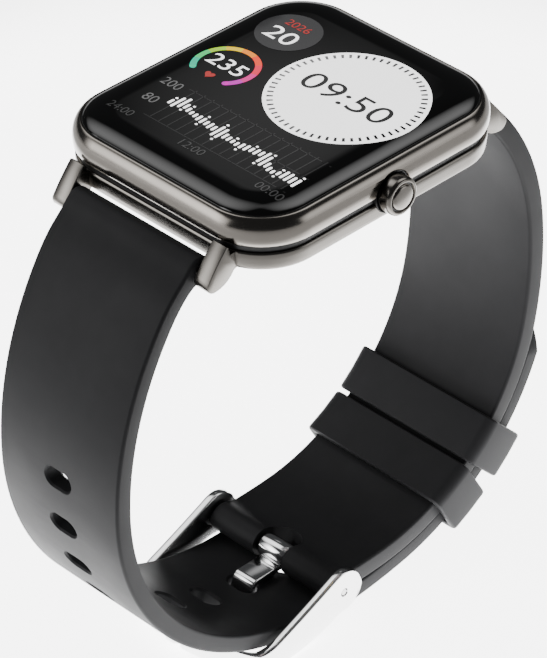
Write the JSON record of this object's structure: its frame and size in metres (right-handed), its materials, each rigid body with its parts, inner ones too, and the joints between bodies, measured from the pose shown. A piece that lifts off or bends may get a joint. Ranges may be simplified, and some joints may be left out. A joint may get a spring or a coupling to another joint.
{
  "type": "smartwatch",
  "caption": "Square smartwatch with a domed glass face, a push crown, and a closed silicone strap with a pin buckle and two loose keepers.",
  "frame": {"origin": "centre of the flat of the case back, where it rests on the wrist", "axes": "+X to 3 o'clock, where the crown is; +Y to 12 o'clock; +Z out of the display"},
  "size_m": [0.0391, 0.0759, 0.0735],
  "materials": {
    "glass": "polished cover glass, black behind it",
    "upper_metal": "polished warm-grey metal",
    "lower_metal": "satin warm-grey metal",
    "black_plastic": "fine-textured black plastic",
    "window": "polished dark window",
    "gold": "gold-plated contact",
    "seal": "soft black seal",
    "panel": "display laminate",
    "carrier": "glass-filled plastic",
    "flex": "amber polyimide",
    "steel": "bright steel",
    "board": "green solder mask",
    "cell": "pouch-cell foil wrap",
    "magnet": "nickel-plated magnet",
    "crown_metal": "polished warm-grey metal",
    "strap": "matte black silicone",
    "buckle_metal": "polished steel"
  },
  "bodies": {
    "watch": {"cover_glass": "glass", "upper_case": "upper_metal", "antenna_ring": "black_plastic", "lower_case": "lower_metal", "back_cover": "black_plastic", "back_seal": "seal", "sensor_window": "window", "charging_contacts": "gold", "glass_gasket": "seal", "touch_panel": "panel", "display_panel": "panel", "backlight": "panel", "display_flex": "flex", "mid_frame": "carrier", "frame_screws": "steel", "main_board": "board", "shield_can": "steel", "battery": "cell", "vibration_motor": "steel", "sensor_board": "board", "sensor_leds": "panel", "photodiode": "panel", "charging_magnets": "magnet", "crown_tube": "steel", "crown_spring": "steel", "side_switch": "carrier", "strap_buckle_half": "strap", "strap_tail": "strap", "lug_bar_12_tube": "steel", "lug_bar_12_spring": "steel", "lug_bar_6_tube": "steel", "lug_bar_6_spring": "steel", "buckle_bar_tube": "steel", "buckle_bar_spring": "steel"},
    "crown": {"crown_cap": "crown_metal", "crown_stem": "steel", "crown_o_ring": "seal", "crown_clip": "steel", "switch_plunger": "carrier"},
    "keeper_upper": {"keeper_upper": "strap"},
    "keeper_lower": {"keeper_lower": "strap"},
    "buckle_frame": {"buckle_frame": "buckle_metal"},
    "buckle_tang": {"buckle_tang": "buckle_metal"},
    "lug_bar_12_tip_right": {"lug_bar_12_tip_right": "steel"},
    "lug_bar_12_tip_left": {"lug_bar_12_tip_left": "steel"},
    "lug_bar_6_tip_right": {"lug_bar_6_tip_right": "steel"},
    "lug_bar_6_tip_left": {"lug_bar_6_tip_left": "steel"},
    "buckle_bar_tip_right": {"buckle_bar_tip_right": "steel"},
    "buckle_bar_tip_left": {"buckle_bar_tip_left": "steel"}
  },
  "joints": [
    {"name": "crown_push", "type": "slide", "parent": "watch", "child": "crown", "axis": [-1, 0, 0], "range_m": [0, 0.0004], "stiffness_N_per_m": 60, "deforming": ["crown_spring"]},
    {"name": "keeper_upper_slide", "type": "hinge", "parent": "watch", "child": "keeper_upper", "pos_m": [0, 0.00489, -0.02799], "axis": [1, 0, 0], "range_deg": [0, 25]},
    {"name": "keeper_lower_slide", "type": "hinge", "parent": "watch", "child": "keeper_lower", "pos_m": [0, 0.00489, -0.02799], "axis": [1, 0, 0], "range_deg": [-13, 0]},
    {"name": "buckle_pivot", "type": "hinge", "parent": "watch", "child": "buckle_frame", "pos_m": [0, -0.0017, -0.0574], "axis": [1, 0, 0], "range_deg": [0, 3]},
    {"name": "tang_pivot", "type": "hinge", "parent": "watch", "child": "buckle_tang", "pos_m": [0, -0.0017, -0.0574], "axis": [1, 0, 0], "range_deg": [0, 3]},
    {"name": "lug_bar_12_press_right", "type": "slide", "parent": "watch", "child": "lug_bar_12_tip_right", "axis": [-1, 0, 0], "range_m": [0, 0.0013], "stiffness_N_per_m": 2},
    {"name": "lug_bar_12_press_left", "type": "slide", "parent": "watch", "child": "lug_bar_12_tip_left", "axis": [1, 0, 0], "range_m": [0, 0.0013], "stiffness_N_per_m": 2},
    {"name": "lug_bar_6_press_right", "type": "slide", "parent": "watch", "child": "lug_bar_6_tip_right", "axis": [-1, 0, 0], "range_m": [0, 0.0013], "stiffness_N_per_m": 2},
    {"name": "lug_bar_6_press_left", "type": "slide", "parent": "watch", "child": "lug_bar_6_tip_left", "axis": [1, 0, 0], "range_m": [0, 0.0013], "stiffness_N_per_m": 2},
    {"name": "buckle_bar_press_right", "type": "slide", "parent": "watch", "child": "buckle_bar_tip_right", "axis": [-1, 0, 0], "range_m": [0, 0.0013], "stiffness_N_per_m": 2},
    {"name": "buckle_bar_press_left", "type": "slide", "parent": "watch", "child": "buckle_bar_tip_left", "axis": [1, 0, 0], "range_m": [0, 0.0013], "stiffness_N_per_m": 2}
  ],
  "couplings": [
    {"joint": "tang_pivot", "follows": "buckle_pivot", "ratio": 1}
  ]
}
